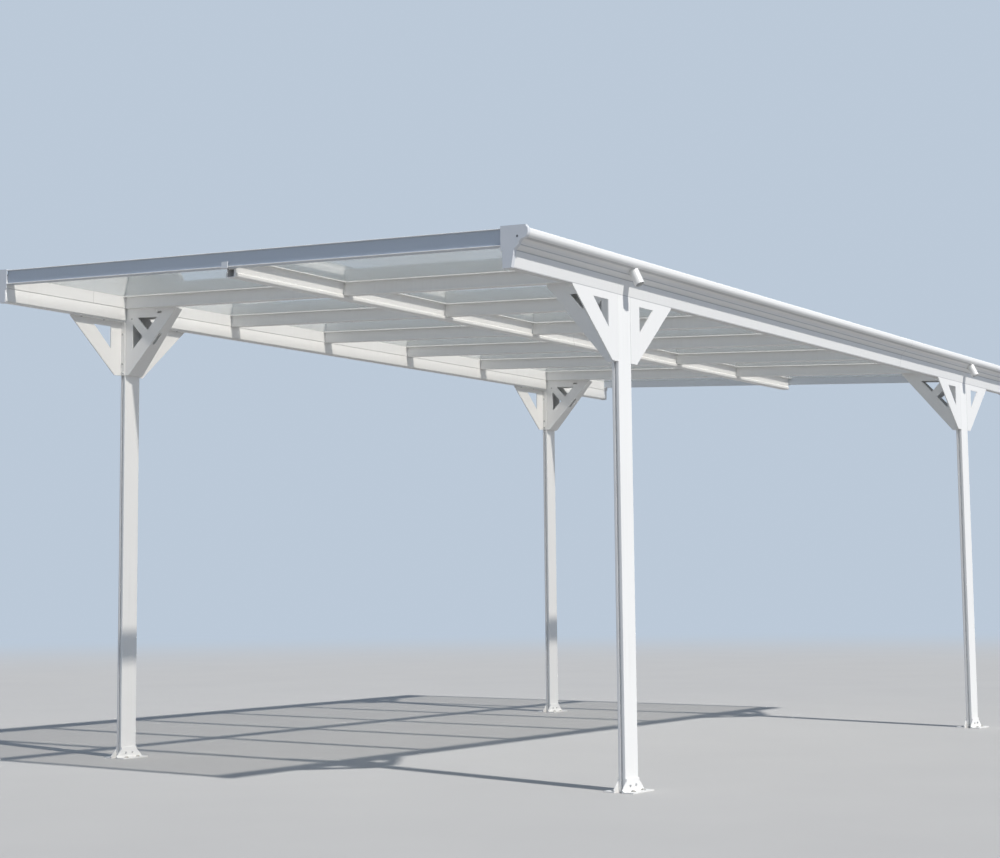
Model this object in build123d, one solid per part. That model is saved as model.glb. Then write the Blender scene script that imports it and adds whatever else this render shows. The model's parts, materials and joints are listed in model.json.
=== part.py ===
from build123d import *
import math
import os

# Free-standing aluminium carport with a clear single-pitch roof.
# X runs across the carport, Y along it (front at -Y), Z up. The roof falls
# towards +X. Millimetres.

# Overall sizes
bay = 707.0
bay_count = 7
roof_width = 2900.0
low_rail_height = 1863.0
high_rail_height = 2036.0

# Posts
post_width = 90.0
post_depth = 32.0
post_wall = 2.0
post_corner = 3.0
post_groove_width = 10.0
post_groove_depth = 8.0
post_bay = 1
post_shift = 38.0

# Feet
foot_flange_out = 50.0
foot_flange_width = 150.0
foot_leg_height = 50.0
foot_plate = 4.0
foot_bend = 6.0
anchor_hole = 11.0
anchor_spacing = 70.0
anchor_edge = 24.0

# Side rails
rail_wall = 2.4
rail_foot = 32.0
rail_step = 8.0
rail_step_cover = 1.5
rail_groove = 1.5
gutter_reach = 71.0
gutter_lip_height = 134.0
gutter_floor_height = 62.0
gutter_ledge_out = 30.0
gutter_ledge_height = 77.0
gutter_belly_out = 58.0
gutter_belly_height = 98.0
gutter_sweep = (9.0, 15.0)
gutter_bulge = (9.0, 8.0)
gutter_lip_roll = 9.0
seat_flange = 15.0
band_lean = 12.0

# Roof structure, measured square to the roof from the panels' underside
panel_seat_height = 116.0
rafter_depth = 56.0
rafter_top_width = 56.0
rafter_web_width = 32.0
rafter_foot_width = 40.0
rafter_flange = 3.0
rafter_foot_flange = 5.0
rafter_wall = 2.0
stem_width = 5.0
beam_depth = 72.0
beam_top_width = 54.0
beam_web_width = 40.0
beam_bead_width = 52.0
beam_bead_height = 20.0
beam_bead_round = 7.0
beam_wall = 2.4

# Panels and the strips that clamp them
panel_thickness = 6.0
panel_joint = 14.0
panel_overhang = 18.0
cap_width = 50.0
cap_rise = 7.0
cap_wall = 2.0

# End profiles
end_profile_up = 25.0
end_profile_down = 38.0
end_profile_depth = 34.0
end_profile_lip = 6.0
end_profile_wall = 2.2
end_profile_lip_height = 4.0
slot_clearance = 0.3

# Rail end caps
rail_cap_wall = 2.5
rail_cap_skirt = 14.0
rail_cap_clearance = 0.3
rail_cap_top = 10.0
rail_cap_round = 8.0

# Brace plates in line with the rails
brace_run = 311.0
brace_drop = 256.0
brace_toe = 43.0
brace_plate = 5.0
brace_flange = 4.0
brace_flange_width = 30.0
brace_tip_height = 5.0
brace_window_side = 67.0
brace_window_top = 28.0
brace_window_run = 105.0

# Windowed channel brackets under the rafters
cross_run = 310.0
cross_toe = 20.0
cross_plate = 4.0
cross_tip_height = 6.0
cross_end_width = 40.0
cross_window_edge = 44.0
cross_window_start = 75.0
cross_window_far = 194.0
cross_window_apex = 134.0
cross_window_depth = 105.0
cross_slot_width = 16.0
cross_slot_length = 70.0
cross_slot_place = 0.55
cross_slot_side = 14.0

# Spouts
spout_outer = 38.0
spout_wall = 2.5
spout_visible = 62.0
spout_inside = 4.0
spout_tilt = 26.0
spout_out = 45.0
spout_height = 92.0
spout_clearance = 0.3

# Clips at the middle beam's ends
clip_width = 34.0
clip_face = 26.0
clip_plate = 3.0
clip_tongue = 46.0

# Derived places
roof_length = bay * bay_count
band_x = roof_width / 2 - gutter_reach
inner_x = band_x - rail_foot - rail_step
fall = math.atan((high_rail_height - low_rail_height) / (2 * inner_x))
seat_z = (high_rail_height + low_rail_height) / 2 + panel_seat_height
post_x = band_x - post_depth / 2
post_grid = roof_length / 2 - bay * post_bay
post_ys = {end: end * post_grid + post_shift for end in (-1, 1)}
rail_step_height = panel_seat_height - rafter_depth + rail_step_cover
rafter_ys = [-roof_length / 2 + bay * (i + 1) for i in range(bay_count - 1)]
corners = {"front_left": (-1, -1), "front_right": (1, -1), "back_left": (-1, 1), "back_right": (1, 1)}
rail_heights = {-1: high_rail_height, 1: low_rail_height}
roof_plane = Location((0, 0, seat_z), (0, math.degrees(fall), 0))
far = 2 * roof_width

nodes = {}


def along_y(face, length):
    """Extrude a profile drawn as (across, up) along Y, centred on Y = 0."""
    return extrude(Plane.XZ * face, amount=length / 2, both=True)


def along_x(face, length):
    """Extrude a profile drawn as (along Y, up) along X, centred on X = 0."""
    return extrude(Plane.YZ * face, amount=length / 2, both=True)


def block(low, high):
    """A box between two opposite corners."""
    size = [b - a for a, b in zip(low, high)]
    middle = [(a + b) / 2 for a, b in zip(low, high)]
    return Pos(*middle) * Box(*size)


def polygon(points):
    """A flat face inside a closed run of straight edges."""
    return make_face(Polyline(*points, close=True))


def group(shapes):
    """Separate solids that share one node."""
    return Compound([solid for shape in shapes for solid in shape.solids()])


def seat_at(x):
    """Height of the panels' underside above the given X."""
    return seat_z - x * math.tan(fall)


# Posts
def post_section():
    """Hollow post section with a lengthwise groove in each narrow side."""
    body = RectangleRounded(post_depth, post_width, post_corner)
    grooves = [
        Pos(0, side * (post_width - post_groove_depth) / 2) * Rectangle(post_groove_width, post_groove_depth)
        for side in (-1, 1)
    ]
    outline = body - grooves
    hollow = Rectangle(post_depth - 2 * post_wall, post_width - 2 * (post_groove_depth + post_wall))
    return outline - hollow


def make_post(side, end):
    """A post from the floor to the underside of its rail."""
    height = rail_heights[side]
    return Pos(side * post_x, post_ys[end], 0) * extrude(post_section(), amount=height)


# Feet
def make_foot(side, end):
    """An angle bracket on each broad side of a post, flared towards the floor."""
    leg = foot_leg_height
    points = [
        (0, 0),
        (foot_flange_out, 0),
        (foot_flange_out, foot_plate),
        (foot_plate + foot_bend, foot_plate),
        (foot_plate, foot_plate + foot_bend),
        (foot_plate, leg),
        (0, leg),
    ]
    angle_iron = along_y(polygon(points), foot_flange_width)
    taper = (foot_flange_width - post_width) / 2
    flare = foot_plate + foot_bend
    for y_side in (-1, 1):
        waste = polygon([
            (y_side * (foot_flange_width / 2 - taper), leg),
            (y_side * (foot_flange_width / 2 - taper), flare + taper),
            (y_side * foot_flange_width / 2, flare),
            (y_side * (foot_flange_width / 2 + taper), flare),
            (y_side * (foot_flange_width / 2 + taper), leg),
        ])
        angle_iron -= along_x(waste, 4 * foot_flange_out)
    for y_side in (-1, 1):
        anchor = Pos(foot_flange_out - anchor_edge, y_side * anchor_spacing / 2, 0)
        angle_iron -= anchor * Cylinder(anchor_hole / 2, 4 * foot_plate)
    outer = Pos(post_depth / 2, 0, 0) * angle_iron
    inner = mirror(outer, about=Plane.YZ)
    place = Pos(side * post_x, post_ys[end], 0)
    return group([place * outer, place * inner])


# Side rails
def rail_outline():
    """Outer outline of a side rail, (0, 0) at the foot's outer edge, outwards positive."""
    groove = (band_lean, rail_step_height)
    waist = (gutter_ledge_out, gutter_ledge_height)
    belly = (gutter_belly_out, gutter_belly_height)
    side_low = (gutter_reach, gutter_belly_height + 2 * gutter_lip_roll)
    side_high = (gutter_reach, gutter_lip_height - gutter_lip_roll)
    roll_end = (gutter_reach - gutter_lip_roll, gutter_lip_height)
    roll_drop = gutter_lip_roll * (1 - math.sqrt(0.5))
    roll_middle = (gutter_reach - roll_drop, gutter_lip_height - roll_drop)
    inner = -rail_foot - rail_step
    return make_face([
        Polyline((-rail_foot, 0), (0, 0), groove, waist),
        ThreePointArc(waist, (waist[0] + gutter_sweep[0], waist[1] + gutter_sweep[1]), belly),
        ThreePointArc(belly, (belly[0] + gutter_bulge[0], belly[1] + gutter_bulge[1]), side_low),
        Line(side_low, side_high),
        ThreePointArc(side_high, roll_middle, roll_end),
        Polyline(
            roll_end,
            (inner, gutter_lip_height),
            (inner, rail_step_height),
            (-rail_foot, rail_step_height),
            (-rail_foot, 0),
        ),
    ])


def rail_section(rise):
    """Hollow section of a side rail: a box below, an open trough above with a seat for the panels."""
    outline = rail_outline()
    core = offset(outline, amount=-rail_wall, kind=Kind.INTERSECTION)
    half = rail_wall / 2
    below = Pos(0, gutter_floor_height - half - far / 2) * Rectangle(far, far)
    above = Pos(0, gutter_floor_height + half + far / 2) * Rectangle(far, far)
    inner = -rail_foot - rail_step
    mouth_edge = gutter_reach - gutter_lip_roll
    seat_edge = inner + seat_flange
    seat_height = panel_seat_height + rise * seat_flange
    mouth = polygon([
        (inner - rail_wall, panel_seat_height - rise * rail_wall),
        (seat_edge, seat_height),
        (seat_edge, gutter_lip_height - rail_wall),
        (mouth_edge, gutter_lip_height - rail_wall),
        (mouth_edge, gutter_lip_height + rail_wall),
        (inner - rail_wall, gutter_lip_height + rail_wall),
    ])
    seat = polygon([
        (inner, panel_seat_height),
        (seat_edge, seat_height),
        (seat_edge, seat_height - rail_wall),
        (inner, panel_seat_height - rail_wall),
    ])
    groove = Pos(band_lean, rail_step_height) * Rectangle(2 * rail_groove, rail_groove)
    return outline - (core & below) - (core & above) - mouth - groove + seat


def spout_axis(side, end):
    """Frame of a spout, +Z along the tube towards its mouth, origin at the gutter wall."""
    x = side * (band_x + spout_out)
    z = rail_heights[side] + spout_height
    return Pos(x, post_ys[end], z) * Rot(0, 180 - side * spout_tilt, 0)


def make_rail(side):
    """A side rail with its gutter, bored for the spouts on the low side."""
    rise = -side * math.tan(fall)
    face = rail_section(rise)
    rail = along_y(face, roof_length)
    if side < 0:
        rail = mirror(rail, about=Plane.YZ)
    rail = Pos(side * band_x, 0, rail_heights[side]) * rail
    if side > 0:
        for end in (-1, 1):
            bore = Cylinder(spout_outer / 2 + spout_clearance, 2 * (spout_inside + spout_wall))
            rail -= spout_axis(side, end) * bore
    return rail


def make_rail_cap(side, end):
    """A moulded cap: an end plate with a skirt that sleeves over the rail's outer side."""
    rise = -side * math.tan(fall)
    inner = -rail_foot - rail_step
    crown_edge = gutter_reach - rail_cap_round
    crown = polygon([
        (inner, gutter_lip_height - rail_cap_wall),
        (crown_edge, gutter_lip_height - rail_cap_wall),
        (crown_edge, gutter_lip_height + rail_cap_top + rise * crown_edge),
        (inner, gutter_lip_height + rail_cap_top + rise * inner),
    ])
    sleeve = rail_outline() + crown
    outer = offset(sleeve, amount=rail_cap_wall, kind=Kind.ARC)
    plate = extrude(Plane.XZ * outer, amount=rail_cap_wall)
    skirt_face = outer - offset(sleeve, amount=rail_cap_clearance, kind=Kind.ARC)
    skirt_face -= Pos(inner - far / 2, 0) * Rectangle(far, far)
    skirt = extrude(Plane.XZ * skirt_face, amount=-rail_cap_skirt)
    cap = plate + skirt
    if end > 0:
        cap = mirror(cap, about=Plane.XZ)
    if side < 0:
        cap = mirror(cap, about=Plane.YZ)
    return Pos(side * band_x, end * roof_length / 2, rail_heights[side]) * cap


def make_spout(side, end):
    """A short outlet tube whose root passes through the gutter's wall."""
    length = spout_inside + spout_visible
    tube = Cylinder(spout_outer / 2, length, align=(Align.CENTER, Align.CENTER, Align.MIN))
    tube -= Cylinder(spout_outer / 2 - spout_wall, 3 * length)
    return spout_axis(side, end) * Pos(0, 0, -spout_inside) * tube


# Roof pieces, drawn in the roof's own sloping frame with the panels' underside at Z = 0
def rafter_section():
    """Hollow rafter section: wide top flanges for the panels and a stem between two sheets."""
    top = Pos(0, -rafter_flange / 2) * Rectangle(rafter_top_width, rafter_flange)
    web = Pos(0, -rafter_depth / 2) * Rectangle(rafter_web_width, rafter_depth)
    foot = Pos(0, -rafter_depth + rafter_foot_flange / 2) * Rectangle(rafter_foot_width, rafter_foot_flange)
    stem = Pos(0, panel_thickness / 2) * Rectangle(stem_width, panel_thickness)
    hollow_height = rafter_depth - rafter_flange - rafter_foot_flange
    hollow_width = rafter_web_width - 2 * rafter_wall
    hollow = Pos(0, -rafter_flange - hollow_height / 2) * Rectangle(hollow_width, hollow_height)
    return top + web + foot + stem - hollow


def make_rafter(y):
    """A rafter in two halves, each from a side rail to the middle beam."""
    bar = roof_plane * (Pos(0, y, 0) * along_x(rafter_section(), roof_width))
    low, high = seat_z - roof_width / 2, seat_z + roof_width / 2
    reach = rafter_top_width
    gap = beam_top_width / 2
    cut_local = block((gap, y - reach, -roof_width), (roof_width, y + reach, roof_width))
    right_part = bar & (roof_plane * cut_local) & block((0, y - reach, low), (inner_x, y + reach, high))
    left_local = block((-roof_width, y - reach, -roof_width), (-gap, y + reach, roof_width))
    left_part = bar & (roof_plane * left_local) & block((-inner_x, y - reach, low), (0, y + reach, high))
    return group([left_part, right_part])


def beam_section():
    """Hollow beam section with a rounded bead along its foot."""
    top = Pos(0, -beam_wall / 2) * Rectangle(beam_top_width, beam_wall)
    web = Pos(0, -beam_depth / 2) * Rectangle(beam_web_width, beam_depth)
    bead_middle = -beam_depth + beam_bead_height / 2
    bead = Pos(0, bead_middle) * RectangleRounded(beam_bead_width, beam_bead_height, beam_bead_round)
    hollow = Pos(0, -beam_depth / 2) * Rectangle(beam_web_width - 2 * beam_wall, beam_depth - 2 * beam_wall)
    return top + web + bead - hollow


def make_beam():
    """The middle beam, from one end profile to the other."""
    length = roof_length - 2 * end_profile_depth
    return roof_plane * along_y(beam_section(), length)


def end_profile_section():
    """Profile of a roof end, drawn as (inwards, up)."""
    lip = end_profile_lip
    wall = end_profile_wall
    outer = polygon([
        (0, end_profile_up),
        (0, end_profile_up - end_profile_lip_height),
        (lip, end_profile_up - end_profile_lip_height),
        (lip, -end_profile_down + end_profile_lip_height),
        (0, -end_profile_down + end_profile_lip_height),
        (0, -end_profile_down),
        (end_profile_depth, -end_profile_down),
        (end_profile_depth, 0),
        (lip + wall, 0),
        (lip + wall, panel_thickness + slot_clearance),
        (end_profile_depth, panel_thickness + slot_clearance),
        (end_profile_depth, end_profile_up),
    ])
    lower = polygon([
        (lip + wall, -wall),
        (end_profile_depth - wall, -wall),
        (end_profile_depth - wall, -end_profile_down + wall),
        (lip + wall, -end_profile_down + wall),
    ])
    upper_low = panel_thickness + slot_clearance + wall
    upper = polygon([
        (lip + wall, upper_low),
        (end_profile_depth - wall, upper_low),
        (end_profile_depth - wall, end_profile_up - wall),
        (lip + wall, end_profile_up - wall),
    ])
    return outer - lower - upper


def make_end_profile(end):
    """The channel that closes one end of the roof between the side rails."""
    section = end_profile_section()
    if end > 0:
        section = mirror(section, about=Plane.YZ)
    bar = roof_plane * (Pos(0, end * roof_length / 2, 0) * along_x(section, roof_width))
    return bar & block((-inner_x, -far, 0), (inner_x, far, far))


def make_panel(index):
    """One roof sheet, let into the end profile where it is an outer one."""
    low = -roof_length / 2 + bay * index + panel_joint / 2
    high = low + bay - panel_joint
    edge = end_profile_lip + end_profile_wall + slot_clearance
    if index == 0:
        low = -roof_length / 2 + edge
    if index == bay_count - 1:
        high = roof_length / 2 - edge
    sheet = roof_plane * block((-roof_width, low, 0), (roof_width, high, panel_thickness))
    high_edge = inner_x + panel_overhang
    return sheet & block((-high_edge, -far, 0), (high_edge, far, far))


def cap_strip_section():
    """A low arched strip with a key down to the rafter's stem."""
    arch = ThreePointArc((-cap_width / 2, 0), (0, cap_rise), (cap_width / 2, 0))
    outer = make_face(Wire([arch, Line((cap_width / 2, 0), (-cap_width / 2, 0))]))
    inner_half = cap_width / 2 - 3 * cap_wall
    relief = ThreePointArc((-inner_half, 0), (0, cap_rise - cap_wall), (inner_half, 0))
    hollow = make_face(Wire([relief, Line((inner_half, 0), (-inner_half, 0))]))
    key = Pos(0, (cap_rise - cap_wall) / 2) * Rectangle(stem_width, cap_rise - cap_wall)
    return outer - hollow + key


def make_glazing_caps():
    """The strips that hold the sheets down along every rafter."""
    strips = []
    for y in rafter_ys:
        strip = roof_plane * (Pos(0, y, panel_thickness) * along_x(cap_strip_section(), roof_width))
        strip &= block((-inner_x - panel_overhang, -far, 0), (inner_x + panel_overhang, far, far))
        strips.append(strip)
    return group(strips)


# Brace plates along the rails
def make_rail_brace(side, end):
    """A pair of windowed plates in line with the post's outer face.

    Each has one flange on the post's narrow side and one under the rail.
    """
    post_face = post_width / 2
    outline = polygon([
        (0, 0),
        (brace_run, 0),
        (brace_run, -brace_tip_height),
        (brace_toe, -brace_drop),
        (0, -brace_drop),
    ])
    window = polygon([
        (brace_window_side, -brace_window_top),
        (brace_window_side + brace_window_run, -brace_window_top),
        (brace_window_side, -brace_window_top - brace_window_run),
    ])
    plate = extrude(Plane.YZ * (outline - window), amount=-brace_plate)
    post_flange = block((-brace_flange_width, 0, -brace_drop), (0, brace_flange, 0))
    rail_flange = block((-brace_flange_width, 0, -brace_flange), (0, brace_run, 0))
    brace = Pos(0, post_face, 0) * (plate + post_flange + rail_flange)
    if side < 0:
        brace = mirror(brace, about=Plane.YZ)
    place = Pos(side * band_x, post_ys[end], rail_heights[side])
    return group([place * brace, place * mirror(brace, about=Plane.XZ)])


# Windowed channel brackets from the posts in under the rafters
def make_cross_brace(side, end):
    """Drawn for a post at -X, running towards +X, then placed.

    Its front flank runs in under the rafter's foot.
    """
    top = seat_at(side * (inner_x + rail_step)) - rafter_depth / math.cos(fall) - rail_heights[side]
    slope = side * math.tan(fall)
    drop = brace_drop
    tip = cross_run
    tip_top = top + slope * tip
    outline = polygon([
        (0, top),
        (tip, tip_top),
        (tip, tip_top - cross_tip_height),
        (cross_toe, -drop),
        (0, -drop),
    ])
    body = extrude(Plane.XZ * outline, amount=post_width / 2, both=True)
    plan = polygon([
        (0, -post_width / 2),
        (tip, -cross_end_width / 2),
        (tip, cross_end_width / 2),
        (0, post_width / 2),
    ])
    body &= Pos(0, 0, -far / 2) * extrude(plan, amount=far)
    inner_outline = offset(outline, amount=-cross_plate, kind=Kind.INTERSECTION)
    core = extrude(Plane.XZ * inner_outline, amount=post_width, both=True)
    inner_plan = offset(plan, amount=-cross_plate, kind=Kind.INTERSECTION)
    core &= Pos(0, 0, -far / 2) * extrude(inner_plan, amount=far)
    bracket = body - core
    upper = [
        (cross_window_start, cross_window_edge),
        (cross_window_far, cross_window_edge),
        (cross_window_apex, cross_window_depth),
    ]
    lower = [(b, a) for a, b in upper]
    for window in (upper, lower):
        points = [(a, top + slope * a - b) for a, b in window]
        bracket -= extrude(Plane.XZ * polygon(points), amount=post_width, both=True)
    start = Vector(cross_toe, -cross_slot_side, -drop)
    finish = Vector(tip, -cross_slot_side, tip_top - cross_tip_height)
    middle = start + (finish - start) * cross_slot_place
    pitch = math.degrees(math.atan2(finish.Z - start.Z, finish.X - start.X))
    slot = extrude(SlotOverall(cross_slot_length, cross_slot_width), amount=3 * cross_plate, both=True)
    bracket -= Pos(*middle) * Rot(0, -pitch, 0) * slot
    if side > 0:
        bracket = mirror(bracket, about=Plane.YZ)
    return Pos(side * (band_x - post_depth), post_ys[end], rail_heights[side]) * bracket


def make_beam_clip(end):
    """A clip that wraps an end profile's foot and reaches in under the middle beam."""
    face = block(
        (-clip_width / 2, 0, -end_profile_down - clip_plate),
        (clip_width / 2, clip_plate, -end_profile_down - clip_plate + clip_face),
    )
    tongue = block(
        (-clip_width / 2, 0, -end_profile_down - clip_plate),
        (clip_width / 2, clip_tongue, -end_profile_down),
    )
    clip = Pos(0, -clip_plate, 0) * (face + tongue)
    if end > 0:
        clip = mirror(clip, about=Plane.XZ)
    return roof_plane * (Pos(0, end * roof_length / 2, 0) * clip)


for name, (side, end) in corners.items():
    nodes["post_" + name] = make_post(side, end)
    nodes["foot_" + name] = make_foot(side, end)
    nodes["rail_brace_" + name] = make_rail_brace(side, end)
    nodes["cross_brace_" + name] = make_cross_brace(side, end)
    nodes["rail_cap_" + name] = make_rail_cap(side, end)
nodes["side_rail_left"] = make_rail(-1)
nodes["side_rail_right"] = make_rail(1)
nodes["middle_beam"] = make_beam()
for name, end in (("front", -1), ("back", 1)):
    nodes["end_profile_" + name] = make_end_profile(end)
    nodes["beam_clip_" + name] = make_beam_clip(end)
    nodes["spout_" + name] = make_spout(1, end)
for number, y in enumerate(rafter_ys, start=1):
    nodes["rafter_" + str(number)] = make_rafter(y)
for index in range(bay_count):
    nodes["roof_panel_" + str(index + 1)] = make_panel(index)
nodes["glazing_caps"] = make_glazing_caps()

# The origin is the middle of the footprint's box on the floor
boxes = [shape.bounding_box() for shape in nodes.values()]
middle_x = (min(b.min.X for b in boxes) + max(b.max.X for b in boxes)) / 2
middle_y = (min(b.min.Y for b in boxes) + max(b.max.Y for b in boxes)) / 2

os.makedirs("parts", exist_ok=True)
for name, shape in nodes.items():
    solids = [Pos(-middle_x, -middle_y, 0) * solid for solid in shape.solids()]
    export_step(solids[0] if len(solids) == 1 else Compound(solids), "parts/" + name + ".step")
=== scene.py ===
import json
import logging
import math
from collections.abc import Iterable
from dataclasses import dataclass, field
from enum import Enum

import bmesh
import bpy
from mathutils import Matrix, Vector


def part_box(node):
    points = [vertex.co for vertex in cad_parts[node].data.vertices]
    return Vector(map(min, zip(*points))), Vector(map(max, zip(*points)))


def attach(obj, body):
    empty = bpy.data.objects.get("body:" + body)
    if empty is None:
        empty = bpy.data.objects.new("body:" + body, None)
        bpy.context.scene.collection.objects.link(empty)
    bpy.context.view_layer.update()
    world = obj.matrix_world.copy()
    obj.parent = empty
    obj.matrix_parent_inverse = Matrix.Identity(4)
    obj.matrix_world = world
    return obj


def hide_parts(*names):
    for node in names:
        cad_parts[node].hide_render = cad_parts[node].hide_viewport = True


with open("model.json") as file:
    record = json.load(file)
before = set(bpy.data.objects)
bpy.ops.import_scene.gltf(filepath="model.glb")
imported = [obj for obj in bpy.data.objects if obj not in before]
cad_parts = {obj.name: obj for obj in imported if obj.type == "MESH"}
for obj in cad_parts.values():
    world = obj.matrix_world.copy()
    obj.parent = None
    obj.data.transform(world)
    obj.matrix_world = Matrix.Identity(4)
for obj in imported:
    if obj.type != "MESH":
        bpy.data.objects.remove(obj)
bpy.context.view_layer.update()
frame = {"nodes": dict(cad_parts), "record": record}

logging.basicConfig(level=logging.INFO, format="%(name)s: %(message)s")
log = logging.getLogger("carport")

Colour = tuple[float, float, float]
Material = bpy.types.Material
Tree = bpy.types.NodeTree
Socket = bpy.types.NodeSocket
Form = bmesh.types.BMesh
Face = bmesh.types.BMFace

MM = 0.001
SAME_PLACE = 0.01 * MM
# The grime colour, also laid as painted shade on upward faces and in inner corners
GRIME_AND_SHADE: Colour = (0.34, 0.31, 0.26)
MIDDLE_PANEL = "roof_panel_4"

# Side and end of each corner: -1 is left or front, 1 is right or back
CORNERS = {"front_left": (-1, -1), "front_right": (1, -1), "back_left": (-1, 1), "back_right": (1, 1)}

# Where two lengths of a profile meet, along Y
LEFT_RAIL_JOINT = -1.98
RIGHT_RAIL_JOINT = 0.93
BEAM_JOINT = 0.0

# Heights of the right rail's creases over its foot, where painted shade lines are drawn
RAIL_CREASES = (1.5 * MM, 60 * MM, 78 * MM, 98 * MM)

# Angles between two faces: smooth shading below the first two, and a rounding above the last
SMOOTH_BELOW = math.radians(35)
SMOOTH_BEAD = math.radians(60)
SHARP = math.radians(60)

# Numbers of the Mix node's colour sockets, whose names its other sockets have too
MIX_BELOW = 6
MIX_ABOVE = 7
MIX_RESULT = 2


class Slot(Enum):
    """Material slots of the record, by name."""

    FRAME = "frame_white"
    BRACE = "brace_white"
    FOOT = "foot_white"
    CAP = "cap_white"
    SHEET = "clear_sheet"


class Drive(Enum):
    """The shape of the recess in a screw head."""

    ROUND = "round"
    STAR = "star"


# Shader trees
class Nodes:
    """A shader node tree, with short calls for the nodes that many finishes share."""

    def __init__(self, tree: Tree) -> None:
        """Take the tree that the nodes go into."""
        self.tree = tree

    def fill(self, socket: Socket, value: object) -> None:
        """Link an input to another node's output or set its value.

        Args:
            socket: The input.
            value: An output, a number or a vector, or a colour without its alpha.
        """
        if isinstance(value, Socket):
            self.tree.links.new(value, socket)
        elif socket.type == "RGBA":
            socket.default_value = (*value, 1.0)
        else:
            socket.default_value = value

    def node(
        self, kind: str, inputs: dict[str | int, object] | None = None, **settings: object
    ) -> bpy.types.Node:
        """Add a node, set its properties and fill its inputs.

        Args:
            kind: The node's class name.
            inputs: Value or output by input name or number.
            settings: Properties set on the node itself.

        Returns:
            The new node.
        """
        node = self.tree.nodes.new(kind)
        for name, value in settings.items():
            setattr(node, name, value)
        for name, value in (inputs or {}).items():
            self.fill(node.inputs[name], value)
        return node

    def maths(self, operation: str, *values: object) -> Socket:
        """The result of a sum on one or two numbers."""
        return self.node("ShaderNodeMath", dict(enumerate(values)), operation=operation).outputs[0]

    def noise(self, place: Socket, scale: object, detail: float = 2.0) -> Socket:
        """Even noise between 0 and 1."""
        inputs = {"Vector": place, "Scale": scale, "Detail": detail}
        return self.node("ShaderNodeTexNoise", inputs).outputs["Fac"]

    def part(self, vector: Socket, axis: str) -> Socket:
        """One part of a vector."""
        return self.node("ShaderNodeSeparateXYZ", {0: vector}).outputs[axis]

    def stretch(self, place: Socket, scale: tuple[float, float, float]) -> Socket:
        """A place scaled along each axis, so that a pattern on it is drawn out."""
        return self.node("ShaderNodeMapping", {"Vector": place, "Scale": scale}).outputs[0]

    def remap(
        self,
        value: Socket,
        start: object,
        end: object,
        low: float = 0.0,
        high: float = 1.0,
        kind: str = "LINEAR",
    ) -> Socket:
        """A value brought from one range to another, and kept inside it.

        Args:
            value: The value.
            start: Where the value gives low.
            end: Where it gives high.
            low: The result at start.
            high: The result at end.
            kind: The curve between them.

        Returns:
            The result.
        """
        ranges = {"Value": value, "From Min": start, "From Max": end, "To Min": low, "To Max": high}
        return self.node("ShaderNodeMapRange", ranges, interpolation_type=kind).outputs[0]

    def facing_up(self) -> Socket:
        """How far the surface looks up, from -1 to 1."""
        return self.part(self.node("ShaderNodeNewGeometry").outputs["Normal"], "Z")

    def mix(self, share: object, first: Socket, second: Socket) -> Socket:
        """A shader that goes from the first to the second with the share."""
        return self.node("ShaderNodeMixShader", {0: share, 1: first, 2: second}).outputs[0]


class ShaderGroup(Nodes):
    """A node group that takes a place and some numbers and gives one mask or height."""

    def __init__(self, name: str, numbers: Iterable[str], result: str) -> None:
        """Make the empty group.

        Args:
            name: The group's name.
            numbers: Names of the inputs beside the place.
            result: Name of the output.
        """
        super().__init__(bpy.data.node_groups.new(name, "ShaderNodeTree"))
        self.tree.interface.new_socket("Vector", in_out="INPUT", socket_type="NodeSocketVector")
        for number in numbers:
            self.tree.interface.new_socket(number, in_out="INPUT", socket_type="NodeSocketFloat")
        self.tree.interface.new_socket(result, in_out="OUTPUT", socket_type="NodeSocketFloat")
        self.inputs = self.tree.nodes.new("NodeGroupInput").outputs
        self.sink = self.tree.nodes.new("NodeGroupOutput").inputs[0]
        self.place = self.inputs["Vector"]

    def distance(self, axis: str) -> Socket:
        """How far the point is from the input Place along an axis."""
        offset = self.maths("SUBTRACT", self.part(self.place, axis), self.inputs["Place"])
        return self.maths("ABSOLUTE", offset)

    def give(self, value: Socket) -> Tree:
        """Send a value to the group's output and hand the group over."""
        self.tree.links.new(value, self.sink)
        return self.tree


@dataclass(frozen=True)
class OrangePeel:
    """The fine pebbled relief that a baked powder coat has, on longer waves."""

    wave_share: float = 0.02

    def build(self) -> Tree:
        """Make the group.

        Returns:
            A group with Vector, Scale and Waviness in, and Height out.
        """
        group = ShaderGroup("OrangePeel", ("Scale", "Waviness"), "Height")
        scale = group.inputs["Scale"]
        coarse = group.noise(group.place, group.maths("MULTIPLY", scale, self.wave_share))
        waves = group.maths("MULTIPLY", coarse, group.inputs["Waviness"])
        return group.give(group.maths("ADD", group.noise(group.place, scale), waves))


@dataclass(frozen=True)
class RainStreaks:
    """Faint vertical runs that rain leaves on upright faces."""

    run_stretch: tuple[float, float, float] = (70.0, 70.0, 1.6)
    run_detail: float = 3.0
    patch_scale: float = 2.3
    shown: tuple[float, float] = (0.24, 0.42)

    def build(self) -> Tree:
        """Make the group.

        Returns:
            A group with Vector and Amount in, and Mask out.
        """
        group = ShaderGroup("RainStreaks", ("Amount",), "Mask")
        runs = group.noise(group.stretch(group.place, self.run_stretch), 1.0, self.run_detail)
        product = group.maths("MULTIPLY", runs, group.noise(group.place, self.patch_scale))
        upright = group.maths("SUBTRACT", 1.0, group.maths("ABSOLUTE", group.facing_up()))
        mask = group.maths("MULTIPLY", group.remap(product, *self.shown), upright)
        return group.give(group.maths("MULTIPLY", mask, group.inputs["Amount"]))


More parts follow.
